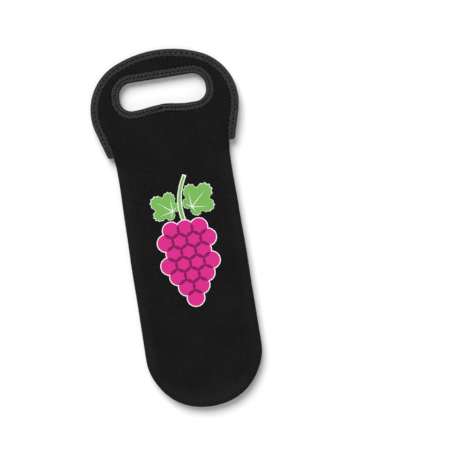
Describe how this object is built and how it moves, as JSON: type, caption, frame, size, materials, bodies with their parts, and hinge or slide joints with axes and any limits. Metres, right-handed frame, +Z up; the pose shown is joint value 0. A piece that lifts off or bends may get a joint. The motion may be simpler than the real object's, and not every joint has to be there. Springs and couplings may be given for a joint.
{
  "type": "bottle carrier",
  "caption": "Flat soft pouch for a bottle, with bound handle panels that fold apart at the mouth and have oval grip holes.",
  "frame": {"origin": "middle of the flat face that the carrier lies on, below the middle of its length and width", "axes": "+Y along the carrier towards the handles, +Z up through its thickness, X across it"},
  "size_m": [0.162, 0.3924, 0.0124],
  "materials": {
    "outer_knit": "matt jersey knit, black",
    "foam": "closed-cell foam, black",
    "lining_knit": "matt jersey knit, black",
    "binding_tape": "folded knit tape, dark grey",
    "thread": "polyester thread, near black"
  },
  "bodies": {
    "pouch": {"front_outer_knit": "outer_knit", "front_foam_core": "foam", "front_lining": "lining_knit", "back_outer_knit": "outer_knit", "back_foam_core": "foam", "back_lining": "lining_knit", "side_seam_thread": "thread", "left_seam_tack": "thread", "right_seam_tack": "thread"},
    "front_handle": {"front_handle_outer_knit": "outer_knit", "front_handle_foam_core": "foam", "front_handle_lining": "lining_knit", "front_rim_binding": "binding_tape", "front_grip_binding": "binding_tape", "front_rim_stitching": "thread", "front_grip_stitching": "thread"},
    "back_handle": {"back_handle_outer_knit": "outer_knit", "back_handle_foam_core": "foam", "back_handle_lining": "lining_knit", "back_rim_binding": "binding_tape", "back_grip_binding": "binding_tape", "back_rim_stitching": "thread", "back_grip_stitching": "thread"}
  },
  "joints": [
    {"name": "front_handle_fold", "type": "hinge", "parent": "pouch", "child": "front_handle", "pos_m": [0, 0.0874, 0.0124], "axis": [1, 0, 0], "range_deg": [0, 90], "stiffness_Nm_per_rad": 0.02},
    {"name": "back_handle_fold", "type": "hinge", "parent": "pouch", "child": "back_handle", "pos_m": [0, 0.0874, 0], "axis": [-1, 0, 0], "range_deg": [0, 90], "stiffness_Nm_per_rad": 0.02}
  ]
}
